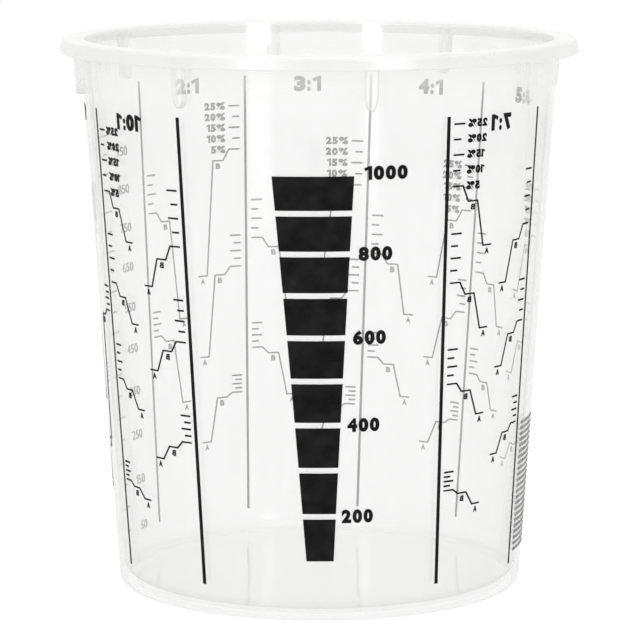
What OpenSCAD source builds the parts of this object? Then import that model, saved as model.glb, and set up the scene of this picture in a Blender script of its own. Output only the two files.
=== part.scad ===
// Graduated cup for measuring and mixing two-part resin.
// One translucent moulding with a flanged rim and stacking lugs carries a black print:
// a volume scale, and stepped mixing graphs whose levels are worked out from the cup's
// own volume. The cup stands on z = 0 with its axis on Z. The print is on the outside
// of the wall and reads from the inside, apart from the fill gauge on the -Y side.

/* [Cup] */
// Height from the table to the top of the rim
cup_h = 139; // [115:1:165]
// Outside diameter of the wall, carried down to the table
base_d = 102.4; // [92:0.2:108]
// Outside diameter of the wall, carried up to the top of the rim
top_d = 120.6; // [114:0.2:124]
// Thickness of the wall
wall = 1.1; // [0.8:0.05:1.6]

/* [Foot] */
// Thickness of the floor
floor_t = 1.45; // [0.8:0.05:2.4]
// How far the floor is raised inside the foot ring
foot_lift = 0.8; // [0.4:0.1:1.6]
// Width of the flat ring that the cup stands on
foot_w = 2.4; // [1.4:0.1:5]
// Rounding of the outer bottom corner
corner_r = 2; // [1:0.25:4]
// Rounding between the floor and the inside of the wall
floor_r = 4; // [2:0.25:8]
// Diameter of the gate mark under the floor
gate_d = 4; // [2:0.5:8]
// How far the gate mark stands down from the floor
gate_h = 0.4; // [0.1:0.05:0.4]

/* [Rim] */
// Outside diameter of the rim at the lower edge of its skirt
rim_d = 131; // [128:0.2:136]
// How much smaller in diameter the skirt is at its top
rim_draft = 1.6; // [0:0.1:3]
// Height of the skirt
rim_drop = 3.5; // [2.5:0.1:6]
// Thickness of the rim's flat top
rim_t = 1.2; // [0.8:0.1:1.6]
// Thickness of the skirt
skirt_t = 1.1; // [0.8:0.1:1.6]
// Rounding of the rim's outer top edge
rim_edge_r = 0.8; // [0.3:0.1:1.2]

/* [Stacking lugs] */
// Number of lugs under the rim
lug_count = 8; // [4:1:12]
// Width of a lug
lug_w = 3.2; // [2:0.1:6]
// Height of the oval end that a lug tapers to
lug_tip = 4.2; // [1.6:0.2:6]
// How far a lug stands out from the wall
lug_out = 2.6; // [1.5:0.1:3.1]
// Distance from the top of the rim to the lower end of a lug
lug_reach = 13.4; // [9:0.2:20]
// Turn of the first lug from +Y towards +X, in degrees
lug_turn = 33.3; // [0:0.1:45]

/* [Print] */
// Thickness of the ink
ink_t = 0.12; // [0.06:0.01:0.3]
// Clearance between the wall and the ink
ink_gap = 0.02; // [0.01:0.01:0.05]
// Height of the print's lower edge
print_low = 7.8; // [5:0.1:20]
// Distance from the top of the rim to the print's upper edge
print_inset = 14.2; // [14:0.2:30]
// Turn of the print from the table to the rim, in degrees
print_lean = 2.5; // [-5:0.1:5]
// How far the print's upper edge runs down once round the cup, as it does off the press
print_fall = 2; // [0:0.1:4]
// Turn of the volume panel's left rule from +Y towards +X, in degrees
print_turn = -79.3; // [-180:0.1:180]
// Width of a ratio panel, in degrees
ratio_a = 33.3; // [30:0.1:34]
// Width of the volume panel, in degrees
volume_a = 25.3; // [20:0.1:27]
// Width of the fill gauge's panel, in degrees
gauge_a = 66.6; // [50:0.1:68]
// Width of an upright rule
rule_w = 0.65; // [0.4:0.05:1.4]
// Width of the two heavier rules that frame the fill gauge
frame_rule_w = 0.9; // [0.4:0.05:1.4]
// Width of a tick
tick_w = 0.45; // [0.3:0.05:0.8]
// Width of a step line
step_w = 0.4; // [0.3:0.05:0.8]

/* [Mixing graphs] */
// Distance from a rule's middle to the ticks beside it
tick_start = 1.5; // [1:0.05:2]
// Length of a long tick
long_tick = 3; // [2:0.1:3.4]
// Length of a short tick
short_tick = 2; // [1.2:0.1:2.4]
// Sideways run of the slope from the last tick down to level B
slope_b = 1.7; // [1:0.1:2.2]
// Length of level B
level_b = 2.9; // [2:0.1:3.4]
// Sideways run of the slope from level B down to level A
slope_a = 2.4; // [1.4:0.1:3]
// Length of level A
level_a = 2.8; // [2:0.1:3.4]
// Share of thinner between two ticks, as a part of component A
thinner_step = 0.05; // [0.03:0.01:0.05]

/* [Volume scale] */
// Highest mark of the volume scale, in ml
scale_top = 1000; // [500:50:1000]
// Volume between two marks, in ml
scale_step = 50; // [50:50:100]
// Length of a mark at whole hundreds
whole_mark = 8; // [5:0.2:10]
// Length of a mark between the hundreds
half_mark = 2.6; // [1.5:0.1:4]
// Distance from the panel's left rule to the marks between the hundreds
half_start = 5.2; // [3:0.1:7]

/* [Ladder] */
// Height of the ladder's lowest rung
ladder_low = 11; // [9:0.5:20]
// Height of the whole ladder
ladder_h = 33; // [15:1:60]
// Length of a rung
rung_l = 14; // [6:0.5:16]
// Pitch of the rungs
rung_pitch = 1.5; // [1.2:0.1:3]
// Distance from the ladder's end to the rule beside it
ladder_gap = 2.4; // [1:0.1:6]

/* [Fill gauge] */
// Volume of one block, in ml
block_v = 100; // [50:50:200]
// Width of the lowest block
block_low_w = 7; // [3:0.5:12]
// Width of the highest block
block_high_w = 19; // [8:0.5:24]
// Gap between two blocks
block_gap = 1.4; // [0.6:0.1:3]

/* [Hidden] */

plastic = [0.95, 0.95, 0.93, 0.45];
ink = [0.06, 0.06, 0.06];
round_fn = 144;
fine_fn = 32;
arc_steps = 6;
edge_r = 0.4;

// Wall: its slope, its thickness measured level, and its radii at a height
slope = (top_d - base_d) / 2 / cup_h;
wall_lean = atan(slope);
wall_level = wall / cos(wall_lean);
function outer_r(z) = base_d / 2 + slope * z;
function inner_r(z) = outer_r(z) - wall_level;

floor_z = foot_lift + floor_t;
skirt_z = cup_h - rim_drop;
foot_inner_r = outer_r(0) - corner_r - foot_w;
print_high = cup_h - print_inset;

// Volume: a cone frustum less what the rounded floor corner takes away, turned round
// to give the height of the surface for a volume in ml
bottom_r = inner_r(floor_z);
corner_loss = (1 - PI / 4) * pow(floor_r, 2) * 2 * PI * (bottom_r - 0.22 * floor_r);
function level(ml) =
    floor_z + (pow(pow(bottom_r, 3) + 3 * slope * (ml * 1000 + corner_loss) / PI, 1 / 3) - bottom_r) / slope;

// Ratio panels, left to right as read from the inside: parts of A to one part of B,
// the volumes of A stepped down from the right rule, and those from the left rule
panel_1_1 = [1, [400, 200], [300]];
panel_2_1 = [2, [600, 400, 200], [500, 300]];
panel_3_1 = [3, [600, 400, 200], [500, 300]];
panel_4_1 = [4, [600, 400, 200], [500, 300]];
panel_5_1 = [5, [600, 400, 200], [500, 300]];
panel_7_1 = [7, [800, 600, 400, 200], [700, 500, 300]];
panel_10_1 = [10, [800, 600, 400, 200], [700, 500, 300]];

// Panel edges, as turns from +Y towards +X
ladder_a = 360 - 7 * ratio_a - volume_a - gauge_a;
turn_volume = print_turn;
turn_2_1 = turn_volume + volume_a;
turn_3_1 = turn_2_1 + ratio_a;
turn_4_1 = turn_3_1 + ratio_a;
turn_5_1 = turn_4_1 + ratio_a;
turn_ladder = turn_5_1 + ratio_a;
turn_7_1 = turn_ladder + ladder_a;
turn_gauge = turn_7_1 + ratio_a;
turn_10_1 = turn_gauge + gauge_a;
turn_1_1 = turn_10_1 + ratio_a;
rule_turns = [turn_volume, turn_2_1, turn_3_1, turn_4_1, turn_5_1,
              turn_ladder, turn_7_1, turn_gauge, turn_10_1, turn_1_1];

// Arc lengths of the print are stated at mid height and narrow with the cup. Its heights
// shrink a little with the turn from the volume panel, so its upper edge runs down.
mid_z = cup_h / 2;
function arc_a(length) = length / outer_r(mid_z) * 180 / PI;
function lean_at(z) = print_lean * (z - mid_z) / cup_h;
function fallen(z, turn) = z * (1 - print_fall / print_high * (turn - print_turn) / 360);

// Outline with rounded corners: each corner is [x, y, radius]
function unit(v) = v / norm(v);
function corner_arc(before, at, after, r) =
    let (u = unit(before - at), v = unit(after - at), half = acos(u * v) / 2,
         centre = at + unit(u + v) * r / sin(half),
         from = at + u * r / tan(half) - centre, to = at + v * r / tan(half) - centre,
         start_a = atan2(from[1], from[0]), swing = atan2(to[1], to[0]) - start_a,
         turn_a = swing > 180 ? swing - 360 : swing < -180 ? swing + 360 : swing)
    [for (i = [0:arc_steps])
        centre + r * [cos(start_a + turn_a * i / arc_steps), sin(start_a + turn_a * i / arc_steps)]];
function flat_point(c) = [c[0], c[1]];
function rounded(corners) =
    let (n = len(corners))
    [for (i = [0:n - 1])
        let (c = corners[i])
        each c[2] == 0 ? [flat_point(c)]
            : corner_arc(flat_point(corners[(i + n - 1) % n]), flat_point(c),
                         flat_point(corners[(i + 1) % n]), c[2])];

// Section of the moulding, from the middle of the underside round to the middle of the floor
cup_section = [
    [0, foot_lift, 0],
    [foot_inner_r - foot_lift, foot_lift, 0],
    [foot_inner_r, 0, 0],
    [outer_r(0), 0, corner_r],
    [outer_r(cup_h - rim_t), cup_h - rim_t, edge_r],
    [rim_d / 2 - skirt_t - rim_draft / 2, cup_h - rim_t, edge_r],
    [rim_d / 2 - skirt_t, skirt_z, 0],
    [rim_d / 2, skirt_z, edge_r],
    [(rim_d - rim_draft) / 2, cup_h, rim_edge_r],
    [inner_r(cup_h), cup_h, edge_r],
    [inner_r(floor_z), floor_z, floor_r],
    [0, floor_z, 0]];

// Section of the ring that the lugs are cut from, with its root in the wall and the rim
lug_low = cup_h - lug_reach;
lug_root = wall_level / 2;
lug_high = cup_h - rim_t / 2;
lug_section = [
    [outer_r(lug_low) - lug_root, lug_low, 0],
    [outer_r(lug_low) + lug_out, lug_low, edge_r],
    [outer_r(lug_high) + lug_out, lug_high, 0],
    [outer_r(lug_high) - lug_root, lug_high, 0]];

// Turns its children from +Y towards +X
module turned(a) rotate([0, 0, -a]) children();

// Carries a drawing in x and z outwards along +Y, through the wall on that side only
module carried_out() {
    translate([0, rim_d, 0])
        rotate([90, 0, 0])
            linear_extrude(height = rim_d - base_d / 4)
                children();
}

module lug_outline() {
    translate([0, lug_low + lug_tip])
        scale([lug_w / 2, lug_tip])
            circle(r = 1, $fn = fine_fn);
    translate([-lug_w / 2, lug_low + lug_tip])
        square([lug_w, lug_reach]);
}

module lugs() {
    intersection() {
        rotate_extrude($fn = round_fn)
            polygon(rounded(lug_section));
        union()
            for (i = [0:lug_count - 1])
                turned(lug_turn + i * 360 / lug_count)
                    carried_out()
                        lug_outline();
    }
}

module cup_body() {
    color(plastic) {
        union() {
            rotate_extrude($fn = round_fn)
                polygon(rounded(cup_section));
            lugs();
            translate([0, 0, foot_lift - gate_h])
                cylinder(h = gate_h + floor_t / 2, d = gate_d, $fn = fine_fn);
        }
    }
}

// Thin conical skin that every printed mark is cut from
ink_inner = ink_gap / cos(wall_lean);
ink_outer = (ink_gap + ink_t) / cos(wall_lean);
ink_section = [
    [outer_r(0) + ink_inner, 0], [outer_r(0) + ink_outer, 0],
    [outer_r(print_high + tick_w) + ink_outer, print_high + tick_w],
    [outer_r(print_high + tick_w) + ink_inner, print_high + tick_w]];

// Prints a drawing on the wall, centred on a turn from +Y towards +X
module printed(turn) {
    $centre_turn = turn;
    color(ink)
        intersection() {
            rotate_extrude($fn = round_fn)
                polygon(ink_section);
            turned(turn)
                carried_out()
                    children();
        }
}

// Place in the drawing of a point at an arc length from the panel's middle and a height
function spot(along, z) =
    let (a = arc_a(along) + lean_at(z), low_z = fallen(z, $centre_turn + a))
    [outer_r(low_z) * sin(a), low_z];

// Straight stroke between two places of the drawing
module stroke(from, to, w) {
    side = unit([from[1] - to[1], to[0] - from[0]]) * w / 2;
    polygon([from + side, from - side, to - side, to + side]);
}

// Line through several places, mitred where it turns and cut square at its ends
module step_line(spots, w) {
    n = len(spots);
    dirs = [for (i = [0:n - 2]) unit(spots[i + 1] - spots[i])];
    sides = [for (i = [0:n - 1])
        let (a = dirs[max(i - 1, 0)], b = dirs[min(i, n - 2)], m = unit(a + b))
        [-m[1], m[0]] * w / 2 / (m * b)];
    polygon([for (i = [0:n - 1]) spots[i] + sides[i],
             for (i = [n - 1:-1:0]) spots[i] - sides[i]]);
}

// Four ticks of thinner over a line that steps from the fifth tick to level B and level A.
// inward is 1 when the group runs right from a rule at edge, and -1 when it runs left.
module mixing_group(edge, inward, parts, volume) {
    function at(reach, z) = spot(edge + inward * reach, z);
    function thinned(steps) = level(volume * (1 + 1 / parts + steps * thinner_step));
    z_a = level(volume);
    z_b = thinned(0);
    z_tick = thinned(1);
    tick_end = tick_start + long_tick;
    b_start = tick_end + slope_b;
    b_end = b_start + level_b;
    a_start = b_end + slope_a;
    for (i = [2:5])
        stroke(at(tick_start, thinned(i)),
               at(tick_start + (i % 2 == 1 ? long_tick : short_tick), thinned(i)), tick_w);
    step_line([at(tick_start, z_tick), at(tick_end, z_tick), at(b_start, z_b), at(b_end, z_b),
               at(a_start, z_a), at(a_start + level_a, z_a)], step_w);
}

// One ratio's graphs, stepping down from both rules towards the middle of the panel
module ratio_panel(left_turn, panel) {
    half_panel = ratio_a / 2 * PI / 180 * outer_r(mid_z);
    printed(left_turn + ratio_a / 2) {
        for (volume = panel[1])
            mixing_group(half_panel, -1, panel[0], volume);
        for (volume = panel[2])
            mixing_group(-half_panel, 1, panel[0], volume);
    }
}

module ratio_1_1() ratio_panel(turn_1_1, panel_1_1);
module ratio_2_1() ratio_panel(turn_2_1, panel_2_1);
module ratio_3_1() ratio_panel(turn_3_1, panel_3_1);
module ratio_4_1() ratio_panel(turn_4_1, panel_4_1);
module ratio_5_1() ratio_panel(turn_5_1, panel_5_1);
module ratio_7_1() ratio_panel(turn_7_1, panel_7_1);
module ratio_10_1() ratio_panel(turn_10_1, panel_10_1);

module panel_rules() {
    for (turn = rule_turns)
        printed(turn)
            stroke(spot(0, print_low), spot(0, print_high),
                turn == turn_gauge || turn == turn_10_1 ? frame_rule_w : rule_w);
}

// Marks from the panel's left rule at whole hundreds, and short ones between them
module volume_scale() {
    mark_start = rule_w / 2 + tick_w;
    printed(turn_volume)
        for (ml = [scale_step:scale_step:scale_top])
            if (ml % 100 == 0)
                stroke(spot(mark_start, level(ml)), spot(mark_start + whole_mark, level(ml)), tick_w);
            else
                stroke(spot(half_start, level(ml)), spot(half_start + half_mark, level(ml)), tick_w);
}

// Plain level rungs beside the rule on the ladder panel's right
module rung_ladder() {
    ladder_end = rule_w / 2 + ladder_gap;
    printed(turn_7_1)
        for (z = [ladder_low:rung_pitch:ladder_low + ladder_h])
            stroke(spot(-ladder_end - rung_l, z), spot(-ladder_end, z), rung_pitch / 2);
}

// Solid blocks, one for each step of volume, widening upwards
module fill_gauge() {
    top_z = level(scale_top);
    low_z = level(block_v);
    function block_w(z) = block_low_w + (block_high_w - block_low_w) * (z - low_z) / (top_z - low_z);
    printed(turn_gauge + gauge_a / 2)
        for (ml = [2 * block_v:block_v:scale_top]) {
            z0 = level(ml - block_v) + block_gap / 2;
            z1 = level(ml) - block_gap / 2;
            polygon([spot(-block_w(z0) / 2, z0), spot(block_w(z0) / 2, z0),
                     spot(block_w(z1) / 2, z1), spot(-block_w(z1) / 2, z1)]);
        }
}

cup_body();
panel_rules();
volume_scale();
ratio_1_1();
ratio_2_1();
ratio_3_1();
ratio_4_1();
ratio_5_1();
ratio_7_1();
ratio_10_1();
rung_ladder();
fill_gauge();
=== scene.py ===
"""Looks of the graduated resin cup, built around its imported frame.

The moulding is one smooth skin worked out with numpy. The printed rules, ticks, step lines,
rungs and blocks keep their CAD solids and get an ink finish. The lettering is cut from flat
glyphs and laid on the wall with the same law as the print. Everything is in metres.
"""

import logging
import math
from dataclasses import dataclass, field
from enum import Enum

import bpy
import numpy as np
from bpy.types import ID, Material, Mesh, Node, NodeSocket, Object, World
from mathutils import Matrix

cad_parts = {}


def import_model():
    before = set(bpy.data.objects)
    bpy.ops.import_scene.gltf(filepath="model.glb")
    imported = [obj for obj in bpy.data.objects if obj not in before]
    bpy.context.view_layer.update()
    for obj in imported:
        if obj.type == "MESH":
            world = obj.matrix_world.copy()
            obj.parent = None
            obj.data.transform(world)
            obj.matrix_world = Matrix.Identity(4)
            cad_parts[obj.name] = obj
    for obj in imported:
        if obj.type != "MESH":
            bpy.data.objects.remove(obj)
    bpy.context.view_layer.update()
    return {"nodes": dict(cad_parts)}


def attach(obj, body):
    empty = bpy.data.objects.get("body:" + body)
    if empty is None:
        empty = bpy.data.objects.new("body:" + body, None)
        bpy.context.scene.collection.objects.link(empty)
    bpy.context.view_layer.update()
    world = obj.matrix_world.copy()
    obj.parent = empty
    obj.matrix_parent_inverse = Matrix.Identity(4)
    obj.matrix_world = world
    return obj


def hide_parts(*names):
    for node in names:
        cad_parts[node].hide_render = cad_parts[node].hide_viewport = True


MM = 0.001
BODY = "root"
log = logging.getLogger("resin_cup")


class Reading(Enum):
    """Side that a line of print reads from, as the sign of its run round the wall."""

    FROM_INSIDE = 1
    FROM_OUTSIDE = -1


class Anchor(Enum):
    """End of a label that its place names, as a share of its width."""

    LEFT = 0.0
    MIDDLE = 0.5
    RIGHT = 1.0


@dataclass(frozen=True)
class CupWall:
    """Cone of the cup's wall, and the height of the surface for a volume inside it."""

    height: float = 139 * MM
    base_radius: float = 51.2 * MM
    top_radius: float = 60.3 * MM
    thickness: float = 1.1 * MM
    floor_top: float = 2.25 * MM
    floor_rounding: float = 4 * MM

    @property
    def slope(self) -> float:
        """Growth of the radius for each metre of height."""
        return (self.top_radius - self.base_radius) / self.height

    @property
    def level_thickness(self) -> float:
        """Thickness of the wall measured level."""
        return self.thickness * math.hypot(1, self.slope)

    def outer(self, z: np.ndarray | float) -> np.ndarray | float:
        """Outer radius at height z: base radius plus slope times z."""
        return self.base_radius + self.slope * z

    def inner(self, z: np.ndarray | float) -> np.ndarray | float:
        """Inner radius at height z: the outer radius less the level thickness."""
        return self.outer(z) - self.level_thickness

    def level(self, millilitres: float) -> float:
        """Height of the surface of a volume.

        The cone frustum pi / (3 slope) (r^3 - r0^3), less what the rounded floor corner
        takes away, is turned round to give the radius r, and from it the height.

        Args:
            millilitres: volume in the cup.

        Returns:
            Height above the table, in metres.
        """
        bottom = float(self.inner(self.floor_top))
        ring = 2 * math.pi * (bottom - 0.22 * self.floor_rounding)
        corner = (1 - math.pi / 4) * self.floor_rounding**2 * ring
        volume = millilitres * 1e-6 + corner
        radius = (bottom**3 + 3 * self.slope * volume / math.pi) ** (1 / 3)
        return self.floor_top + (radius - bottom) / self.slope


@dataclass(frozen=True)
class PrintLaw:
    """How a flat print lies on the wall: it leans, runs down round the cup and narrows."""

    wall: CupWall
    first_turn: float = -79.3
    lean: float = 2.5
    fall: float = 2 * MM
    top: float = 124.8 * MM
    ink_low: float = 0.02 * MM
    ink_high: float = 0.14 * MM

    @property
    def mid(self) -> float:
        """Height at which arc lengths are true."""
        return self.wall.height / 2

    def lay(self, turn: float, along: np.ndarray, z: np.ndarray, proud: float) -> np.ndarray:
        """Lays points of a drawing on the wall.

        A point's turn from +Y towards +X is the panel's turn, plus its arc length over the
        wall's radius at mid height, plus a lean that grows with height. Its height shrinks
        in step with the turn from the first panel. It then stands proud along the wall.

        Args:
            turn: turn of the drawing's middle, in degrees.
            along: arc lengths from the drawing's middle at mid height.
            z: heights in the drawing.
            proud: distance from the wall.

        Returns:
            Points, one row each.
        """
        turned = turn + np.degrees(along / self.wall.outer(self.mid))
        turned = turned + self.lean * (z - self.mid) / self.wall.height
        low = z * (1 - self.fall / self.top * (turned - self.first_turn) / 360)
        radius = self.wall.outer(low) + proud * math.hypot(1, self.wall.slope)
        angle = np.radians(turned)
        return np.stack([radius * np.sin(angle), radius * np.cos(angle), low], axis=-1)


def raw_mesh(name: str, points: np.ndarray, faces: list[np.ndarray]) -> Mesh:
    """Makes a smooth-shaded mesh from whole arrays.

    Args:
        name: name of the mesh.
        points: vertices, one row each.
        faces: arrays of faces, each array with one number of corners.

    Returns:
        The new mesh.
    """
    sizes = np.concatenate([np.full(len(part), part.shape[1]) for part in faces])
    corners = np.concatenate([part.ravel() for part in faces])
    mesh = bpy.data.meshes.new(name)
    mesh.vertices.add(len(points))
    mesh.vertices.foreach_set("co", points.astype(np.float32).ravel())
    mesh.loops.add(len(corners))
    mesh.loops.foreach_set("vertex_index", corners.astype(np.int32))
    mesh.polygons.add(len(sizes))
    starts = np.concatenate([[0], np.cumsum(sizes)[:-1]])
    mesh.polygons.foreach_set("loop_start", starts.astype(np.int32))
    mesh.polygons.foreach_set("use_smooth", np.ones(len(sizes), bool))
    mesh.update(calc_edges=True)
    mesh.validate()
    return mesh


def painted(mesh: Mesh, name: str, values: np.ndarray) -> None:
    """Gives each point of a mesh a number under a name that shaders can read."""
    layer = mesh.attributes.new(name, "FLOAT", "POINT")
    layer.data.foreach_set("value", values.astype(np.float32))


def shown_object(name: str, data: ID) -> Object:
    """Puts a mesh, a curve, a lamp or a camera into the scene, at the origin.

    Args:
        name: name of the object.
        data: what it holds.

    Returns:
        The new object.
    """
    made = bpy.data.objects.new(name, data)
    bpy.context.scene.collection.objects.link(made)
    return made


@dataclass(frozen=True)
class Corner:
    """Corner of a section: its radius from the axis, its height and its rounding."""

    r: float
    z: float
    rounding: float = 0.0

    @property
    def point(self) -> np.ndarray:
        """The corner as a point of the section."""
        return np.array([self.r, self.z])


@dataclass(frozen=True)
class Section:
    """Open outline of a turned body, with rounded corners and rows along its straights."""

    corners: tuple[Corner, ...]
    arc_steps: int = 8
    spacing: float = 9 * MM
    margin: float = 0.2 * MM

    def arc(self, index: int) -> np.ndarray:
        """Rows of one rounded corner.

        The arc's ends lie where the circle touches the two sides. Points between them are
        the weighted sum of the two end radii, sin((1 - t) a) and sin(t a) over sin(a).

        Args:
            index: which corner.

        Returns:
            Rows from the side before the corner to the side after it.
        """
        here = self.corners[index]
        if here.rounding == 0:
            return here.point[None]
        back = self.corners[index - 1].point - here.point
        on = self.corners[index + 1].point - here.point
        back, on = back / np.linalg.norm(back), on / np.linalg.norm(on)
        half = math.acos(float(np.clip(back @ on, -1, 1))) / 2
        middle = back + on
        centre = here.point + middle / np.linalg.norm(middle) * here.rounding / math.sin(half)
        first = here.point + back * here.rounding / math.tan(half) - centre
        last = here.point + on * here.rounding / math.tan(half) - centre
        swing = math.pi - 2 * half
        t = np.linspace(0, 1, self.arc_steps + 1)[:, None]
        spread = (np.sin((1 - t) * swing) * first + np.sin(t * swing) * last) / math.sin(swing)
        return centre + spread

    def straight(self, start: np.ndarray, end: np.ndarray) -> np.ndarray:
        """Rows between two arcs: evenly spaced ones, and one close to each end.

        Args:
            start: where the straight starts.
            end: where it ends.

        Returns:
            The rows between the two.
        """
        length = float(np.linalg.norm(end - start))
        count = max(1, math.ceil(length / self.spacing))
        shares = np.linspace(0, 1, count + 1)[1:-1]
        if length > 4 * self.margin:
            close = self.margin / length
            shares = np.union1d(shares, [close, 1 - close])
        return start + shares[:, None] * (end - start)

    def rows(self, heights: dict[int, np.ndarray]) -> tuple[np.ndarray, np.ndarray]:
        """All rows of the outline.

        Args:
            heights: for a straight, by the corner before it, the heights of its rows.

        Returns:
            The rows, and for each the number of its corner, or of the corner before its
            straight plus a half.
        """
        arcs = [self.arc(i) for i in range(len(self.corners))]
        rows, places = [], []
        for i, arc in enumerate(arcs):
            rows.append(arc)
            places.append(np.full(len(arc), float(i)))
            if i + 1 < len(arcs):
                start, end = arc[-1], arcs[i + 1][0]
                run = self.straight(start, end)
                if i in heights:
                    share = (heights[i] - start[1]) / (end[1] - start[1])
                    run = start + share[:, None] * (end - start)
                rows.append(run)
                places.append(np.full(len(run), i + 0.5))
        return np.concatenate(rows), np.concatenate(places)


@dataclass(frozen=True)
class StackingLugs:
    """Tongues under the rim that keep stacked cups apart."""

    count: int = 8
    width: float = 3.2 * MM
    out: float = 2.5 * MM
    reach: float = 13.4 * MM
    tip: float = 4.2 * MM
    first_turn: float = 33.3
    wall_radius: float = 60 * MM
    edge: float = 0.5 * MM
    across: tuple[float, ...] = (1.3, 1.12, 1.0, 0.97, 0.93, 0.85, 0.7, 0.35)
    rise: tuple[float, ...] = (0.0, 0.0, 0.05, 0.8, 0.9, 0.97, 1.0, 1.0)
    # Painted shade along the lugs' outline: its share for each column across a lug, and how far up
    # the lug it fades.
    crease: tuple[float, ...] = (0.0, 0.1, 0.8, 1.0, 0.8, 0.3, 0.0, 0.0)
    crease_reach: float = 4 * MM

    def columns(self, between: int) -> tuple[np.ndarray, ...]:
        """Columns of the skin once round the cup.

        Args:
            between: number of plain columns between two lugs.

        Returns:
            For each column its turn in radians, its place across a lug from -1 to 1 at
            the lug's sides, its share of the lug's rise, and its share of painted crease shade.
        """
        side = np.array(self.across)
        across = np.concatenate([-side, [0.0], side[::-1]])
        rise = np.concatenate([self.rise, [1.0], self.rise[::-1]])
        crease = np.concatenate([self.crease, [0.0], self.crease[::-1]])
        step = 2 * math.pi / self.count
        plain = (np.arange(between) + 1) / (between + 1)
        edge = side[0] * self.width / 2 / self.wall_radius
        plain = edge + plain * (step - 2 * edge)
        one_turn = np.concatenate([np.zeros(len(across)), plain])
        starts = math.radians(self.first_turn) + step * np.arange(self.count)
        turns = (starts[:, None] + one_turn[None]).ravel()
        ones = (np.concatenate([part, np.zeros(between)]) for part in (across, rise, crease))
        return turns, *(np.tile(one, self.count) for one in ones)

    def darkening(self, above_end: np.ndarray, rise: np.ndarray, crease: np.ndarray) -> np.ndarray:
        """How much painted shade lies along the outline of a lug.

        It is the crease of the column, or close to the lower end the rise of the column,
        and it fades up the lug as exp(-h / reach).

        Args:
            above_end: heights above the lower end, one for each row.
            rise: the columns' shares of the rise.
            crease: how much painted crease shade each column takes.

        Returns:
            A grid of numbers from 0 to 1.
        """
        low = np.clip(1 - above_end / (1.2 * self.edge), 0, 1)[:, None] * rise[None]
        fade = np.where(above_end > -1e-6, np.exp(-above_end / self.crease_reach), 0.0)
        return np.maximum(low, crease[None]) * fade[:, None]

    def half_width(self, above_end: np.ndarray) -> np.ndarray:
        """Half width at a height above the lower end.

        Within the tip it follows an ellipse, w / 2 sqrt(1 - (1 - h / tip)^2), and it is
        full above the tip and well below the lower end.

        Args:
            above_end: heights above the lower end.

        Returns:
            Half widths, one for each height.
        """
        inside = np.clip(1 - above_end / self.tip, 0, 1)
        oval = self.width / 2 * np.sqrt(1 - inside**2)
        return np.where(above_end < -0.5 * MM, self.width / 2, np.maximum(oval, 0.03 * MM))

    def standing(self, above_end: np.ndarray) -> np.ndarray:
        """How far the face stands out at a height above the lower end.

        Close to the end the edge is rounded as a quarter circle of radius e:
        out - e + sqrt(e^2 - (e - h)^2).

        Args:
            above_end: heights above the lower end.

        Returns:
            Distances from the wall, one for each height.
        """
        short = np.clip(self.edge - above_end, 0, self.edge)
        rounded = self.out - self.edge + np.sqrt(self.edge**2 - short**2)
        return np.where(above_end > 1e-6, rounded, 0.0)


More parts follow.
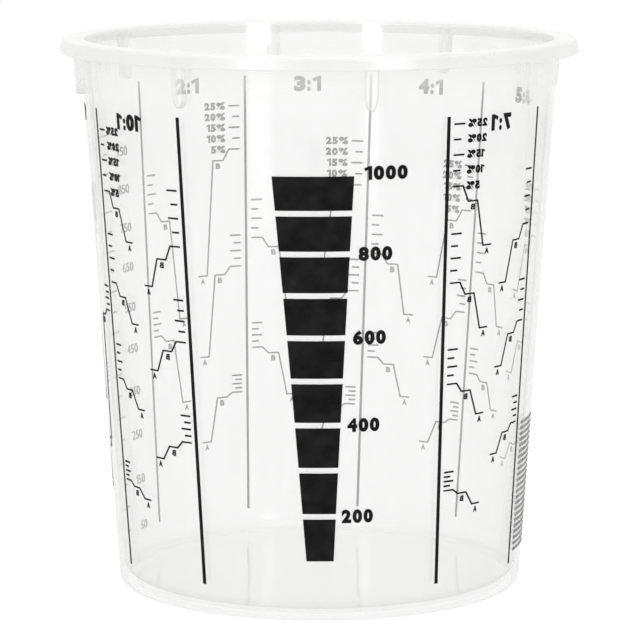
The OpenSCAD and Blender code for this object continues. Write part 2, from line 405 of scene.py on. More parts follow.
@dataclass(frozen=True)
class Polypropylene:
    """Clear polypropylene: milky, and less clear the longer the way through the wall."""

    name: str = "clear_polypropylene"
    pale: tuple[float, float, float] = (0.885, 0.89, 0.876)
    deep: tuple[float, float, float] = (0.855, 0.862, 0.846)
    clearness: float = 0.885
    dim: tuple[float, float, float] = (0.25, 0.26, 0.25)
    milky_from: float = 127 * MM
    milky_to: float = 133 * MM
    milkiness: float = 0.16
    roughness: float = 0.1
    rough_drift: float = 0.03
    bends: float = 1.49
    gloss_index: float = 2.3
    cloud_scale: float = 55.0
    streak_scale: float = 9.0
    streak_length: float = 5.0
    grain_scale: float = 900.0
    grain_height: float = 0.02
    wave_scale: float = 70.0
    uneven: float = 0.05
    floor_swell: float = 110.0
    relief: float = 0.25 * MM

    def build(self) -> Material:
        """Builds the shader.

        Inside the plastic a ray runs at a smaller angle: with the cosine c outside, the
        cosine inside is sqrt(1 - (1 - c^2) / n^2). The share that passes a skin straight is
        clearness ^ (1 / inner cosine), times what the skin doesn't mirror, which is
        (1 - m) (1 - (1 - c)^5) with m mirrored head on. Clearness drifts with clouds in the
        plastic and with flow streaks up the wall, and falls under the rim, in the lugs and
        in the floor, where the plastic is thicker. The tint drifts between two pale greys
        with the same clouds and dims in the rim, the foot and the wall. It also carries
        painted shade: a dark band in the floor's corner, a band under the rim and lines
        along the outlines of the lugs.

        Returns:
            The plastic.
        """
        graph = ShaderGraph(bpy.data.materials.new(self.name))
        place = graph.add("TexCoord").outputs["Object"]
        clouds = graph.noise(place, self.cloud_scale, detail=3.0)
        round_axis = graph.vector("NORMALIZE", graph.vector("MULTIPLY", place, (1, 1, 0)))
        drift = graph.vector("MULTIPLY", place, (0, 0, self.streak_length))
        streaks = graph.vector("ADD", round_axis, drift)
        streaks = graph.noise(streaks, self.streak_scale, detail=4.0)
        tint = graph.mix_colour(clouds, self.deep, self.pale)
        # The shade attribute pulls the tint towards the dim grey: painted shade in the floor's
        # corner, under the rim and along the lugs' outlines, and a plain dimming of the rim, foot and
        # wall.
        tint = graph.mix_colour(graph.painted("shade"), tint, self.dim)
        grain = graph.noise(place, self.grain_scale, detail=2.0)
        waves = graph.noise(place, self.wave_scale, detail=1.0)
        gloss = graph.painted("gloss")
        rough = graph.drifting(waves, self.roughness, self.rough_drift)
        rough = graph.maths("SUBTRACT", rough, gloss)
        swell = graph.maths("MULTIPLY", graph.maths("MAXIMUM", gloss, 0.0), self.floor_swell)
        waves = graph.maths("MULTIPLY", waves, graph.maths("ADD", swell, 1.0))
        relief = graph.maths("ADD", graph.maths("MULTIPLY", grain, self.grain_height), waves)
        skin = graph.add("BsdfPrincipled", {
            "Base Color": tint, "Roughness": rough, "Specular IOR Level": 1.0,
            "IOR": self.gloss_index, "Normal": graph.bump(relief, 0.25, self.relief)})
        film = graph.add("BsdfTransparent")
        passing = self.passing(graph, place, clouds, streaks)
        graph.finish(graph.mix_shader(passing, skin.outputs[0], film.outputs[0]))
        return graph.owner

    def passing(self, graph: "ShaderGraph", place: NodeSocket, clouds: NodeSocket,
                streaks: NodeSocket) -> NodeSocket:
        """The share of light that passes a skin straight.

        Args:
            graph: the material's node tree.
            place: object coordinates.
            clouds: soft noise in the plastic.
            streaks: noise that runs up the wall.

        Returns:
            The share, from 0 to 1.
        """
        facing = graph.add("LayerWeight", {"Blend": 0.5}).outputs["Facing"]
        outside = graph.maths("SUBTRACT", 1.0, facing)
        sine = graph.maths("SUBTRACT", 1.0, graph.maths("MULTIPLY", outside, outside))
        inside = graph.maths("SUBTRACT", 1.0, graph.maths("DIVIDE", sine, self.bends**2))
        longer = graph.maths("DIVIDE", 1.0, graph.maths("SQRT", inside))
        uneven = graph.maths("MULTIPLY", graph.maths("ADD", streaks, clouds), self.uneven)
        height = graph.add("SeparateXYZ", {0: place}).outputs["Z"]
        milky = graph.spread(height, self.milky_from, self.milky_to)
        clear = graph.maths("ADD", uneven, self.clearness - self.uneven)
        clear = graph.maths("SUBTRACT", clear, graph.maths("MULTIPLY", milky, self.milkiness))
        open_share = graph.maths("SUBTRACT", 1.0, graph.painted("solid"))
        clear = graph.maths("MULTIPLY", clear, open_share)
        least = ((self.bends - 1) / (self.bends + 1)) ** 2
        kept = graph.maths("SUBTRACT", 1.0, graph.maths("POWER", facing, 5.0))
        kept = graph.maths("MULTIPLY", kept, 1 - least)
        return graph.maths("MULTIPLY", graph.maths("POWER", clear, longer), kept)


@dataclass(frozen=True)
class PressInk:
    """Black printing ink: satin, a little uneven, with fine pinholes of thinner ink."""

    name: str = "black_ink"
    full: tuple[float, float, float] = (0.005, 0.005, 0.0055)
    thin: tuple[float, float, float] = (0.016, 0.016, 0.017)
    roughness: float = 0.5
    rough_drift: float = 0.1
    shine: float = 0.06
    patch_scale: float = 260.0
    patches: tuple[float, float] = (0.35, 0.75)
    pinhole_scale: float = 4200.0
    pinholes: tuple[float, float] = (0.62, 0.75)
    relief: float = 0.02 * MM

    def build(self) -> Material:
        """Builds the shader: the ink's colour and roughness drift with two noises.

        Returns:
            The ink.
        """
        graph = ShaderGraph(bpy.data.materials.new(self.name))
        place = graph.add("TexCoord").outputs["Object"]
        body = graph.noise(place, self.patch_scale, detail=4.0)
        holes = graph.noise(place, self.pinhole_scale, detail=1.0)
        spots = graph.spread(holes, *self.pinholes)
        uneven = graph.maths("MAXIMUM", graph.spread(body, *self.patches), spots)
        skin = graph.add("BsdfPrincipled", {
            "Base Color": graph.mix_colour(uneven, self.full, self.thin),
            "Roughness": graph.drifting(body, self.roughness, self.rough_drift),
            "Specular IOR Level": self.shine, "Normal": graph.bump(holes, 0.2, self.relief)})
        graph.finish(skin.outputs[0])
        return graph.owner


THIN_COAT = PressInk("black_ink_thin_coat", full=(0.18, 0.18, 0.18), thin=(0.4, 0.4, 0.395))


@dataclass(frozen=True)
class StudioSheet:
    """Seamless white sheet that is white to the camera and keeps a soft shadow."""

    name: str = "studio_sheet"
    colour: tuple[float, float, float] = (0.86, 0.86, 0.86)
    tooth: float = 1.02
    tooth_scale: float = 300.0
    white: float = 1.022
    lit_share: float = 0.12

    def build(self) -> Material:
        """Builds the shader: a plain diffuse sheet, mixed with white light where it is seen.

        Returns:
            The sheet's material.
        """
        graph = ShaderGraph(bpy.data.materials.new(self.name))
        place = graph.add("TexCoord").outputs["Object"]
        tooth = graph.noise(place, self.tooth_scale, detail=3.0)
        paler = tuple(c * self.tooth for c in self.colour)
        sheet = graph.add("BsdfDiffuse", {"Color": graph.mix_colour(tooth, self.colour, paler)})
        white = graph.add("Emission", {"Strength": self.white})
        share = graph.maths("MULTIPLY", graph.seen_rays(), 1 - self.lit_share)
        graph.finish(graph.mix_shader(share, sheet.outputs[0], white.outputs[0]))
        return graph.owner


class ShaderGraph:
    """The node tree of a material or a world, with short calls for the nodes in use here."""

    def __init__(self, owner: Material | World) -> None:
        """Starts with an empty node tree.

        Args:
            owner: the material or world that the tree belongs to.
        """
        self.owner = owner
        owner.use_nodes = True
        self.tree = owner.node_tree
        self.tree.nodes.clear()

    def add(self, kind: str, inputs: dict[str | int, object] | None = None,
            **settings: object) -> Node:
        """Adds a node.

        Args:
            kind: the node's type, after the words that all shader nodes share.
            inputs: by an input's name or number, the socket to link or the value to set,
                where a colour is its three shares.
            settings: the node's own settings, which come first.

        Returns:
            The new node.
        """
        node = self.tree.nodes.new("ShaderNode" + kind)
        for name, value in settings.items():
            setattr(node, name, value)
        for key, value in (inputs or {}).items():
            target = node.inputs[key]
            if isinstance(value, NodeSocket):
                self.tree.links.new(value, target)
            else:
                target.default_value = (*value, 1) if target.type == "RGBA" else value
        return node

    def maths(self, operation: str, *parts: object) -> NodeSocket:
        """One arithmetic step on numbers or sockets."""
        return self.add("Math", dict(enumerate(parts)), operation=operation).outputs[0]

    def vector(self, operation: str, *parts: object) -> NodeSocket:
        """One step of vector arithmetic."""
        return self.add("VectorMath", dict(enumerate(parts)), operation=operation).outputs[0]

    def noise(self, place: NodeSocket, scale: float, detail: float) -> NodeSocket:
        """Soft noise from 0 to 1 at a place."""
        node = self.add("TexNoise", {"Vector": place, "Scale": scale, "Detail": detail})
        return node.outputs["Fac"]

    def spread(self, value: NodeSocket, low: float, high: float) -> NodeSocket:
        """Spreads the range from low to high over 0 to 1."""
        node = self.add("MapRange", {"Value": value, "From Min": low, "From Max": high})
        return node.outputs["Result"]

    def drifting(self, noise: NodeSocket, middle: float, reach: float) -> NodeSocket:
        """Number that drifts with a noise, up to a reach either side of a middle."""
        return self.maths("ADD", self.maths("MULTIPLY", noise, 2 * reach), middle - reach)

    def mix_colour(self, share: object, first: object, second: object) -> NodeSocket:
        """Colour that goes from the first to the second, each a colour or a socket."""
        inputs = {"Factor": share, "A": first, "B": second}
        return self.add("Mix", inputs, data_type="RGBA").outputs["Result"]

    def painted(self, name: str) -> NodeSocket:
        """Number that the mesh carries under a name."""
        return self.add("Attribute", attribute_name=name).outputs["Fac"]

    def bump(self, height: NodeSocket, strength: float, distance: float) -> NodeSocket:
        """Normal of a fine relief."""
        inputs = {"Height": height, "Strength": strength, "Distance": distance}
        return self.add("Bump", inputs).outputs["Normal"]

    def mix_shader(self, share: NodeSocket, first: NodeSocket, second: NodeSocket) -> NodeSocket:
        """Shader that goes from the first to the second with a share."""
        return self.add("MixShader", {0: share, 1: first, 2: second}).outputs[0]

    def seen_rays(self) -> NodeSocket:
        """Tells the rays of the camera, of gloss and of glass from the light between surfaces.

        Returns:
            1 for the first three and 0 for the others.
        """
        ray = self.add("LightPath").outputs
        seen = self.maths("MAXIMUM", ray["Is Camera Ray"], ray["Is Glossy Ray"])
        return self.maths("MAXIMUM", seen, ray["Is Transmission Ray"])

    def finish(self, surface: NodeSocket) -> None:
        """Ends the tree in the output that fits its owner."""
        kind = "World" if isinstance(self.owner, World) else "Material"
        self.add("Output" + kind, {"Surface": surface})


@dataclass(frozen=True)
class Zone:
    """How much dimmer, more solid and glossier the plastic is in one part of the cup."""

    shade: float = 0.0
    solid: float = 0.0
    gloss: float = 0.0


# Shares of each zone: the corner, band and outline shades are painted shade, while the rim, foot and
# wall are just dimmer.
ZONES = {
    "rim": Zone(shade=0.03, solid=0.18, gloss=-0.16),
    "floor": Zone(solid=0.12, gloss=0.05),
    # Painted shade: a dark band where the floor rounds up into the wall.
    "corner": Zone(shade=0.45, solid=0.1),
    "foot": Zone(shade=0.03, solid=0.12),
    "wall": Zone(shade=0.05),
    # Painted shade: a soft dark band on the wall under the rim.
    "band": Zone(shade=0.18),
    "lug": Zone(solid=0.4),
    # Painted shade along the lugs' outline and creases; the outline is also more solid.
    "outline": Zone(shade=0.5, solid=0.6),
}


@dataclass
class CupMoulding:
    """The cup itself: foot, floor, wall, hollow rim and lugs in one closed skin."""

    wall: CupWall
    lugs: StackingLugs = field(default_factory=StackingLugs)
    foot_lift: float = 0.8 * MM
    foot_ring: float = 2.4 * MM
    foot_rounding: float = 2 * MM
    gate_radius: float = 2 * MM
    gate_drop: float = 0.4 * MM
    rim_radius: float = 65.5 * MM
    rim_draft: float = 0.8 * MM
    rim_drop: float = 3.5 * MM
    rim_top: float = 1.2 * MM
    skirt: float = 1.1 * MM
    rim_edge: float = 0.8 * MM
    small_edge: float = 0.4 * MM
    gate_edge: float = 0.12 * MM
    skirt_edge: float = 0.25 * MM
    lug_margin: float = 0.1 * MM
    # Where the painted shade of the floor's corner is centred, and how far it reaches.
    bend_share: float = 0.4
    bend_rise: float = 1.2 * MM
    bend_reach: float = 2.1 * MM
    # Middle and reach of the painted shade band under the rim, and the top of the dimmed wall.
    band_height: float = 119 * MM
    band_reach: float = 12 * MM
    band_end: float = 124 * MM
    plain_columns: int = 29
    wall_rows: int = 12
    tip_rows: int = 12
    inner_rows: int = 14
    floor_rows: int = 10
    wall_straight: int = 5
    inner_straight: int = 11

    def section(self) -> Section:
        """Lists the corners of the section.

        Returns:
            The section from the middle of the underside, round the rim, to the floor's middle.
        """
        wall, edge = self.wall, self.small_edge
        foot = float(wall.outer(0)) - self.foot_rounding - self.foot_ring
        under = wall.height - self.rim_top
        skirt_low = wall.height - self.rim_drop
        gate = self.foot_lift - self.gate_drop
        return Section((
            Corner(0, gate),
            Corner(self.gate_radius, gate, self.gate_edge),
            Corner(self.gate_radius, self.foot_lift, self.gate_edge),
            Corner(foot - self.foot_lift, self.foot_lift, edge),
            Corner(foot, 0, edge),
            Corner(float(wall.outer(0)), 0, self.foot_rounding),
            Corner(float(wall.outer(under)), under, edge),
            Corner(self.rim_radius - self.skirt - self.rim_draft, under, edge),
            Corner(self.rim_radius - self.skirt, skirt_low, self.skirt_edge),
            Corner(self.rim_radius, skirt_low, edge),
            Corner(self.rim_radius - self.rim_draft, wall.height, self.rim_edge),
            Corner(float(wall.inner(wall.height)), wall.height, edge),
            Corner(float(wall.inner(wall.floor_top)), wall.floor_top, wall.floor_rounding),
            Corner(0, wall.floor_top),
        ))

    def wall_heights(self) -> np.ndarray:
        """Spaces the wall's rows: evenly, then closely where the lugs' ends are.

        Returns:
            Heights from low to high.
        """
        end = self.wall.height - self.lugs.reach
        plain = np.linspace(self.foot_rounding + 0.5 * MM, end - 1.2 * MM, self.wall_rows)
        swing = np.linspace(0, math.pi / 2, self.tip_rows)
        tip = end + self.lugs.tip * (1 - np.cos(swing))
        close = end + np.array([-0.24, -0.12, 0.15, 0.4]) * self.lugs.edge
        above = np.linspace(tip[-1], self.wall.height - self.rim_top - 0.7 * MM, 4)[1:]
        return np.unique(np.concatenate([plain, tip, close, above]))

    def inner_heights(self) -> np.ndarray:
        """Spaces the inner wall's rows: evenly, then closely above the floor.

        Returns:
            Heights from high to low.
        """
        low = self.wall.floor_top
        plain = np.linspace(self.wall.height - 1 * MM, low + 9 * MM, self.inner_rows)
        start = self.wall.floor_rounding + 0.2 * MM
        return np.concatenate([plain, low + np.linspace(7 * MM, start, self.floor_rows)])

    def finish_shares(self, rows: np.ndarray, places: np.ndarray, lug: np.ndarray,
                      outline: np.ndarray) -> dict[str, np.ndarray]:
        """How the finish and the painted shade change over the skin.

        Every zone adds its shares where it lies, and of a lug and its outline the larger
        counts. The corner zone fades as exp(-(d / reach)^2) with the distance d from where
        the floor starts to rise, and the band zone with the height from its middle. The
        corner, band and outline zones are painted shade: a dark band in the floor's corner,
        a band under the rim and lines along the lugs' outlines.

        Args:
            rows: the section's rows.
            places: where on the section each row lies.
            lug: how much each point belongs to a lug.
            outline: how much each point belongs to a lug's outline, which takes painted shade.

        Returns:
            Grids of numbers by the names that the plastic's shader reads.
        """
        last = self.wall_straight
        bend = self.wall.inner(self.wall.floor_top) - self.bend_share * self.wall.floor_rounding
        corner = np.array([bend, self.wall.floor_top + self.bend_rise])
        away = np.linalg.norm(rows - corner, axis=1) / self.bend_reach
        straight = (places == last + 0.5) | (places == self.inner_straight + 0.5)
        straight = straight & (rows[:, 1] < self.band_end)
        rows_in = {
            "rim": (places >= last + 1.5) & (places <= last + 6),
            "floor": places > self.inner_straight + 1,
            "corner": np.exp(-away**2) * (places >= self.inner_straight),
            "foot": (places >= last - 1.5) & (places <= last),
            "wall": straight,
            "band": np.exp(-((rows[:, 1] - self.band_height) / self.band_reach) ** 2) * straight,
        }
        shares = {}
        for name in ("shade", "solid", "gloss"):
            of = {zone: getattr(finish, name) for zone, finish in ZONES.items()}
            on_lugs = np.maximum(of["lug"] * lug, of["outline"] * outline)
            shares[name] = sum((of[zone] * row[:, None] for zone, row in rows_in.items()), on_lugs)
        return shares

    def skin(self) -> Mesh:
        """Builds the closed skin.

        Each row of the section is turned about the axis. At row i and column j the radius
        is the row's radius plus the lug's standing at that row times the column's rise,
        and the angle is the column's turn plus its place across the lug times the lug's
        half width over the wall's radius.

        Returns:
            The mesh, closed at its seam and at both poles.
        """
        rows, places = self.section().rows({self.wall_straight: self.wall_heights(),
                                            self.inner_straight: self.inner_heights()})
        first_pole, last_pole = rows[0], rows[-1]
        rows, places = rows[1:-1], places[1:-1]
        turns, across, rise, crease = self.lugs.columns(self.plain_columns)
        above = rows[:, 1] - (self.wall.height - self.lugs.reach)
        on_wall = places == self.wall_straight + 0.5
        standing = np.where(on_wall, self.lugs.standing(above), 0.0)
        fillet = places == self.wall_straight + 1
        under = places == self.wall_straight + 1.5
        start, end = rows[under][0, 0], rows[places == self.wall_straight + 2][0, 0]
        full = min(end - rows[fillet][-1, 0] - self.lug_margin, self.lugs.out)
        standing[fillet] = full
        standing[under] = full * (end - rows[under][:, 0]) / (end - start + self.lug_margin)
        half = np.where(on_wall, self.lugs.half_width(above), self.lugs.width / 2)
        radius = rows[:, :1] + standing[:, None] * rise[None]
        angle = turns[None] + across[None] * half[:, None] / self.lugs.wall_radius
        height = np.broadcast_to(rows[:, 1:], radius.shape)
        grid = np.stack([radius * np.sin(angle), radius * np.cos(angle), height], axis=-1)
        tall, wide = radius.shape
        poles = np.array([[0, 0, first_pole[1]], [0, 0, last_pole[1]]])
        points = np.concatenate([grid.reshape(-1, 3), poles])
        here = np.arange(tall * wide).reshape(tall, wide)
        beside = np.roll(here, -1, axis=1)
        quads = np.stack([here[:-1], here[1:], beside[1:], beside[:-1]], axis=-1).reshape(-1, 4)
        low, high = np.full(wide, tall * wide), np.full(wide, tall * wide + 1)
        fans = np.concatenate([np.stack([low, here[0], beside[0]], axis=-1),
                               np.stack([high, beside[-1], here[-1]], axis=-1)])
        mesh = raw_mesh("cup", points, [quads, fans])
        # Painted shade along the outline and creases of the lugs.
        outline = self.lugs.darkening(above, rise, crease) * on_wall[:, None]
        lug = (standing > 0)[:, None] * rise[None] * on_wall[:, None]
        for name, grid in self.finish_shares(rows, places, lug, outline).items():
            painted(mesh, name, np.concatenate([grid.ravel(), grid[0, :1], grid[-1, :1]]))
        return mesh

    def build(self, finish: Material) -> None:
        """Builds the cup and lets it stand for its CAD node.

        Args:
            finish: the plastic.
        """
        cup = shown_object("cup", self.skin())
        cup.data.materials.append(finish)
        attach(cup, BODY)
        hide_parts("cup_body")
        log.info("cup: %d faces", len(cup.data.polygons))


@dataclass(frozen=True)
class Face:
    """A face of type, with its sizes as shares of the cap height."""

    weight: float
    figure: float
    gap: float
    stem: float
    sign: float = 1.24
    dots: float = 0.22

    def width(self, glyph: str) -> float:
        """Width of one glyph."""
        return {"%": self.sign, ":": self.dots}.get(glyph, self.figure)


BOLD = Face(weight=0.065, figure=0.73, gap=0.1, stem=0.25)
CAPITAL = Face(weight=0.04, figure=0.86, gap=0.1, stem=0.2)
REGULAR = Face(weight=0.012, figure=0.68, gap=0.12, stem=0.15)


@dataclass(frozen=True)
class Label:
    """A line of print: its words, its place in the panel's drawing and its cap height."""

    words: str
    along: float
    middle: float
    cap: float
    face: Face
    anchor: Anchor = Anchor.MIDDLE


class TypeCase:
    """Flat glyphs with a cap height of 1, each made once and kept."""

    def __init__(self) -> None:
        """Starts an empty case."""
        self.kept: dict[tuple[str, Face], tuple[np.ndarray, np.ndarray]] = {}

    def line(self, words: str, face: Face) -> tuple[np.ndarray, np.ndarray]:
        """Sets a line of glyphs side by side with the face's gap between them.

        Args:
            words: the line of print.
            face: the face of type.

        Returns:
            Points as rows of x and y from the line's lower left, and triangles.
        """
        points, faces, pen, count = [], [], 0.0, 0
        for letter in words:
            flat, corners = self.glyph(letter, face)
            points.append(flat + [pen, 0.0])
            faces.append(corners + count)
            pen += float(flat[:, 0].max()) + face.gap
            count += len(flat)
        return np.concatenate(points), np.concatenate(faces)

    def glyph(self, letter: str, face: Face) -> tuple[np.ndarray, np.ndarray]:
        """One glyph, from its left end and the baseline.

        Args:
            letter: the glyph.
            face: the face of type.

        Returns:
            Points and triangles.
        """
        key = (letter, face)
        if key not in self.kept:
            self.kept[key] = self.one(face) if letter == "1" else self.cut(letter, face)
        return self.kept[key]

    @staticmethod
    def one(face: Face) -> tuple[np.ndarray, np.ndarray]:
        """A one with a flag: a straight stem, and a slanting stroke at its upper left.

        Args:
            face: the face of type.

        Returns:
            Points and triangles.
        """
        left, right = 0.3, 0.3 + face.stem
        outline = np.array([[left, 0], [right, 0], [right, 1], [left + 0.06, 1], [0, 0.84],
                            [0.07, 0.84 - 0.85 * face.stem], [left, 0.9 - 0.6 * face.stem]])
        corners = np.array([[0, 1, 6], [1, 2, 6], [2, 3, 6], [3, 5, 6], [3, 4, 5]])
        return outline, corners

    def cut(self, letter: str, face: Face) -> tuple[np.ndarray, np.ndarray]:
        """Cuts a glyph from a fattened outline and brings it to the face's width.

        Args:
            letter: the glyph.
            face: the face of type.

        Returns:
            Points and triangles.
        """
        flat, faces = self.outline(letter, face.weight)
        cap = self.outline("H", 0.0)[0][:, 1].max()
        low, high = flat[:, 0].min(), flat[:, 0].max()
        x = (flat[:, 0] - low) / (high - low) * face.width(letter)
        y = (flat[:, 1] + face.weight) / (cap + 2 * face.weight)
        return np.stack([x, y], axis=1), faces

    def outline(self, letter: str, weight: float) -> tuple[np.ndarray, np.ndarray]:
        """Filled outline of a glyph.

        Args:
            letter: the glyph.
            weight: how far the outline is fattened, in ems.

        Returns:
            Points and triangles.
        """
        curve = bpy.data.curves.new("glyph", "FONT")
        curve.body, curve.offset, curve.resolution_u = letter, weight, 4
        holder = shown_object("glyph", curve)
        graph = bpy.context.evaluated_depsgraph_get()
        mesh = bpy.data.meshes.new_from_object(holder.evaluated_get(graph))
        mesh.calc_loop_triangles()
        points = np.zeros(len(mesh.vertices) * 3)
        mesh.vertices.foreach_get("co", points)
        corners = np.zeros(len(mesh.loop_triangles) * 3, np.int32)
        mesh.loop_triangles.foreach_get("vertices", corners)
        bpy.data.objects.remove(holder)
        bpy.data.curves.remove(curve)
        bpy.data.meshes.remove(mesh)
        return self.joined(points.reshape(-1, 3)[:, :2], corners.reshape(-1, 3))

    @staticmethod
    def joined(points: np.ndarray, faces: np.ndarray) -> tuple[np.ndarray, np.ndarray]:
        """Joins points that lie together and turns every triangle the same way round.

        Args:
            points: points, some of them double.
            faces: triangles between them.

        Returns:
            Points and triangles.
        """
        _, kept, back = np.unique(points.round(5), axis=0, return_index=True, return_inverse=True)
        points, faces = points[kept], back.reshape(-1)[faces]
        a, b, c = points[faces[:, 0]], points[faces[:, 1]], points[faces[:, 2]]
        area = (b - a)[:, 0] * (c - a)[:, 1] - (b - a)[:, 1] * (c - a)[:, 0]
        faces = np.where((area < 0)[:, None], faces[:, ::-1], faces)
        return points, faces[np.abs(area) > 1e-9]


@dataclass
class Lettering:
    """All the lettering of one panel, as raised ink on the wall."""

    name: str
    turn: float
    labels: list[Label]
    reading: Reading = Reading.FROM_INSIDE

    def slab(self, label: Label, law: PrintLaw, case: TypeCase) -> tuple[np.ndarray, np.ndarray]:
        """One line of print as a closed slab.

        The flat glyphs are laid on the wall twice, at the ink's outer and inner face, and
        every edge that only one triangle has is closed with two triangles between them.

        Args:
            label: the line of print.
            law: how the print lies on the wall.
            case: the flat glyphs.

        Returns:
            Points and triangles.
        """
        flat, faces = case.line(label.words, label.face)
        run = (flat[:, 0] - label.anchor.value * flat[:, 0].max()) * label.cap
        along = label.along + self.reading.value * run
        z = label.middle + (flat[:, 1] - 0.5) * label.cap
        outer = law.lay(self.turn, along, z, law.ink_high)
        inner = law.lay(self.turn, along, z, law.ink_low)
        if self.reading is Reading.FROM_INSIDE:
            faces = faces[:, ::-1]
        edges = np.concatenate([faces[:, [0, 1]], faces[:, [1, 2]], faces[:, [2, 0]]])
        _, index, count = np.unique(np.sort(edges, 1), axis=0, return_index=True, return_counts=True)
        rim = edges[index[count == 1]]
        under = rim + len(flat)
        sides = np.concatenate([np.stack([rim[:, 1], rim[:, 0], under[:, 0]], 1),
                                np.stack([rim[:, 1], under[:, 0], under[:, 1]], 1)])
        return (np.concatenate([outer, inner]),
                np.concatenate([faces, faces[:, ::-1] + len(flat), sides]))

    def build(self, law: PrintLaw, case: TypeCase, finish: Material) -> None:
        """Builds the panel's lettering as one piece.

        Args:
            law: how the print lies on the wall.
            case: the flat glyphs.
            finish: the ink.
        """
        slabs = [self.slab(label, law, case) for label in self.labels]
        starts = np.cumsum([0] + [len(points) for points, _ in slabs[:-1]])
        points = np.concatenate([points for points, _ in slabs])
        faces = np.concatenate([faces + start for (_, faces), start in zip(slabs, starts)])
        mesh = raw_mesh(self.name, points, [faces])
        mesh.polygons.foreach_set("use_smooth", np.zeros(len(faces), bool))
        made = shown_object(self.name, mesh)
        made.data.materials.append(finish)
        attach(made, BODY)
        log.info("%s: %d labels", self.name, len(self.labels))


@dataclass
class RatioPanel:
    """The lettering of one ratio panel: its heading, its thinner shares and its levels."""

    parts: int
    left_turn: float
    from_right: tuple[int, ...]
    from_left: tuple[int, ...]
    width: float = 33.3
    text_reach: float = 5.45 * MM
    level_b: float = 7.65 * MM
    level_a: float = 12.9 * MM
    heading: float = 122.5 * MM
    heading_cap: float = 4.05 * MM
    share_cap: float = 2.0 * MM
    letter_cap: float = 1.5 * MM
    letter_drop: float = 1.45 * MM
    thinner_step: float = 0.05
    thinner_ticks: int = 5

    def labels(self, law: PrintLaw) -> list[Label]:
        """The panel's lines of print.

        Level A of a group is its volume, level B that volume times 1 + 1 / parts, and a
        share of thinner adds that share of the volume.

        Args:
            law: how the print lies on the wall.

        Returns:
            The labels, placed from the panel's middle.
        """
        half = math.radians(self.width) / 2 * float(law.wall.outer(law.mid))
        made = [Label(f"{self.parts}:1", 0.0, self.heading, self.heading_cap, BOLD)]
        for steps in range(1, self.thinner_ticks + 1):
            share = steps * self.thinner_step
            z = law.wall.level(self.from_right[0] * (1 + 1 / self.parts + share))
            made.append(Label(f"{round(100 * share)}%", half - self.text_reach, z,
                              self.share_cap, BOLD, Anchor.RIGHT))
        for volumes, side in ((self.from_right, 1), (self.from_left, -1)):
            for volume in volumes:
                for word, reach, top in (("B", self.level_b, volume * (1 + 1 / self.parts)),
                                         ("A", self.level_a, volume)):
                    made.append(Label(word, side * (half - reach),
                                      law.wall.level(top) - self.letter_drop,
                                      self.letter_cap, CAPITAL))
        return made

    def sheet(self, law: PrintLaw) -> Lettering:
        """The panel's lettering, centred between its rules."""
        name = f"lettering_{self.parts}_1"
        return Lettering(name, self.left_turn + self.width / 2, self.labels(law))


@dataclass
class GraduatedPrint:
    """The whole print: the CAD marks with their ink, and the lettering beside them."""

    law: PrintLaw
    ratio_width: float = 33.3
    volume_width: float = 25.3
    gauge_width: float = 66.6
    seven_turn: float = 114.2
    number_right: float = 18.4 * MM
    number_cap: float = 2.35 * MM
    gauge_low: float = 3.5 * MM
    gauge_high: float = 9.5 * MM
    gauge_gap: float = 2.2 * MM
    gauge_cap: float = 3.4 * MM
    high: tuple[int, ...] = (800, 600, 400, 200)
    high_between: tuple[int, ...] = (700, 500, 300)

    def panels(self) -> list[RatioPanel]:
        """Works out where the ratio panels are.

        Returns:
            The panels, with 1:1 last.
        """
        first = self.law.first_turn + self.volume_width
        low = [RatioPanel(parts, first + i * self.ratio_width, self.high[1:], self.high_between[1:])
               for i, parts in enumerate((2, 3, 4, 5))]
        seven = RatioPanel(7, self.seven_turn, self.high, self.high_between)
        ten_turn = self.seven_turn + self.ratio_width + self.gauge_width
        ten = RatioPanel(10, ten_turn, self.high, self.high_between)
        one = RatioPanel(1, ten_turn + self.ratio_width, (400, 200), (300,))
        return [*low, seven, ten, one]

    def volume_numbers(self) -> Lettering:
        """Sets the numbers of the volume scale: the fifties, right-aligned.

        Returns:
            The lettering.
        """
        labels = [Label(str(ml), self.number_right, self.law.wall.level(ml), self.number_cap,
                        REGULAR, Anchor.RIGHT) for ml in range(50, 1000, 100)]
        return Lettering("numbers_volume", self.law.first_turn, labels)

    def gauge_numbers(self) -> Lettering:
        """Sets the numbers beside the fill gauge, which reads from the outside.

        Returns:
            The lettering.
        """
        turn = self.seven_turn + self.ratio_width + self.gauge_width / 2
        marks = np.arange(200, 1001, 200)
        heights = np.array([self.law.wall.level(float(ml)) for ml in marks])
        share = (heights - heights[0]) / (heights[-1] - heights[0])
        half = self.gauge_low + (self.gauge_high - self.gauge_low) * share + self.gauge_gap
        labels = [Label(str(ml), -float(reach), float(z), self.gauge_cap, BOLD,
                        Anchor.LEFT) for ml, z, reach in zip(marks, heights, half)]
        return Lettering("numbers_gauge", turn, labels, Reading.FROM_OUTSIDE)

    def build(self, nodes: dict[str, Object], finish: Material,
              greyer: Material) -> None:
        """Gives the CAD marks their ink and builds the lettering.

        Args:
            nodes: the CAD nodes by name.
            finish: the ink.
            greyer: the ink in a thin coat, for the ladder.
        """
        for name, node in sorted(nodes.items()):
            if name != "cup_body":
                for place in node.material_slots:
                    place.material = greyer if name == "rung_ladder" else finish
                log.info("%s: inked", name)
        case = TypeCase()
        sheets = [panel.sheet(self.law) for panel in self.panels()]
        for sheet in (*sheets, self.volume_numbers(), self.gauge_numbers()):
            sheet.build(self.law, case, finish)


def flat_lamp(name: str, wide: float, tall: float, radiance: float) -> Object:
    """Makes a flat lamp that looks down and that the camera doesn't see.

    A flat lamp of area S that is to look as bright as radiance L gives pi S L watts.

    Args:
        name: name of the lamp.
        wide: its width.
        tall: its other side.
        radiance: how bright it looks.

    Returns:
        The lamp's object, at the origin.
    """
    lamp = bpy.data.lights.new(name, "AREA")
    lamp.shape, lamp.size, lamp.size_y = "RECTANGLE", wide, tall
    lamp.energy = math.pi * lamp.size * lamp.size_y * radiance
    made = shown_object(name, lamp)
    made.visible_camera = False
    return made


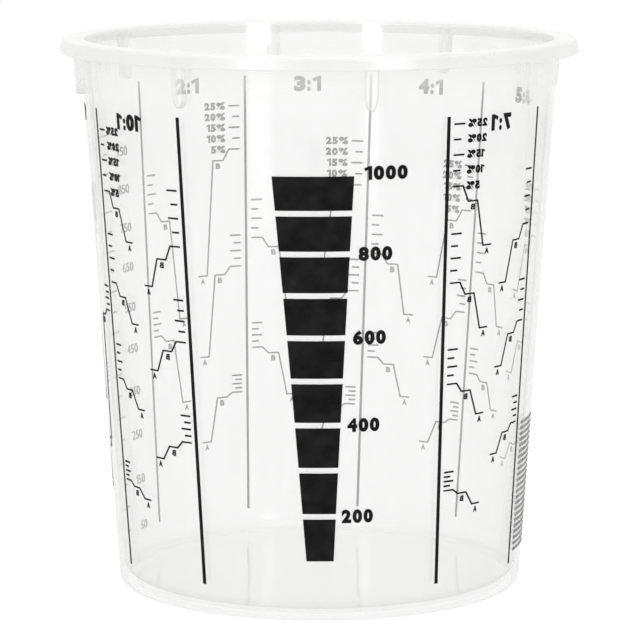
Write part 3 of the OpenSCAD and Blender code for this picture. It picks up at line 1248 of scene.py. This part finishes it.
@dataclass(frozen=True)
class SoftBox:
    """An upright soft lamp: where it stands, how large it is and how strong."""

    name: str
    azimuth: float
    low: float
    high: float
    width: float
    radiance: float
    distance: float = 1.5

    def build(self, target: float) -> None:
        """Stands the lamp at its azimuth from -Y and turns it to the cup's axis.

        Args:
            target: height that the lamp looks at.
        """
        lamp = flat_lamp(self.name, self.width, self.high - self.low, self.radiance)
        a, middle = math.radians(self.azimuth), (self.low + self.high) / 2
        lamp.location = (self.distance * math.sin(a), -self.distance * math.cos(a), middle)
        lamp.rotation_euler = (math.radians(90) - math.atan2(middle - target, self.distance), 0, a)


@dataclass
class PhotoStudio:
    """White sweep, soft lamps and the camera of the photograph."""

    sheet_size: float = 14.0
    sky_light: float = 0.96
    camera_back: float = 908.75 * MM
    camera_up: float = 205.57 * MM
    camera_pitch: float = 8.689
    focal: float = 202.548
    shift: float = 0.57 / 640
    lamps: tuple[SoftBox, ...] = (
        SoftBox("strip_right", azimuth=31.4, low=0.1, high=0.4, width=0.32, radiance=2.2),
        SoftBox("strip_left", azimuth=-27.4, low=0.1, high=0.4, width=0.24, radiance=2.2),
        SoftBox("head_right", azimuth=31.4, low=0.42, high=0.9, width=0.16, radiance=4.5),
        SoftBox("head_left", azimuth=-27.4, low=0.42, high=0.9, width=0.18, radiance=4.5),
    )
    overhead_size: float = 1.4
    overhead_radiance: float = 0.6
    overhead_place: tuple[float, float, float] = (-0.25, -0.15, 1.5)

    def floor(self) -> None:
        """The sheet under the cup, a grid of x and y at height 0."""
        steps = np.linspace(-0.5, 0.5, 9) * self.sheet_size
        x, y = np.meshgrid(steps, steps)
        points = np.stack([x, y, np.zeros_like(x)], axis=-1).reshape(-1, 3)
        here = np.arange(len(points)).reshape(x.shape)
        quads = np.stack([here[:-1, :-1], here[:-1, 1:], here[1:, 1:], here[1:, :-1]], axis=-1)
        sheet = shown_object("studio_floor", raw_mesh("studio_floor", points, [quads.reshape(-1, 4)]))
        sheet.data.materials.append(StudioSheet().build())

    def sky(self) -> None:
        """World that is white where it is seen and a soft pale light elsewhere."""
        world = bpy.data.worlds.new("studio_sky")
        bpy.context.scene.world = world
        graph = ShaderGraph(world)
        light, white = (graph.add("Background", {"Color": (1, 1, 1), "Strength": strength})
                        for strength in (self.sky_light, 1.0))
        graph.finish(graph.mix_shader(graph.seen_rays(), light.outputs[0], white.outputs[0]))

    def camera(self) -> None:
        """Camera at the photograph's place, pitch and focal length."""
        data = bpy.data.cameras.new("camera")
        data.sensor_width, data.lens, data.shift_x = 36.0, self.focal, self.shift
        data.clip_start, data.clip_end = 0.05, 50.0
        holder = shown_object("camera", data)
        holder.location = (0, -self.camera_back, self.camera_up)
        holder.rotation_euler = (math.radians(90 - self.camera_pitch), 0, 0)
        bpy.context.scene.camera = holder

    def build(self, target: float) -> None:
        """Sets up the sheet, the world, the lamps and the camera.

        Args:
            target: height that the lamps look at.
        """
        self.floor()
        self.sky()
        for lamp in self.lamps:
            lamp.build(target)
        size = self.overhead_size
        flat_lamp("overhead", size, size, self.overhead_radiance).location = self.overhead_place
        self.camera()
        log.info("studio: %d strips and one overhead lamp", len(self.lamps))


def main() -> None:
    """Builds the cup, its print and the studio, in that order."""
    logging.basicConfig(level=logging.INFO, format="%(name)s %(message)s")
    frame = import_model()
    bpy.context.scene.view_settings.view_transform = "Standard"
    wall = CupWall()
    CupMoulding(wall).build(Polypropylene().build())
    GraduatedPrint(PrintLaw(wall)).build(frame["nodes"], PressInk().build(), THIN_COAT.build())
    PhotoStudio().build(wall.height / 2)


if __name__ == "__main__":
    main()
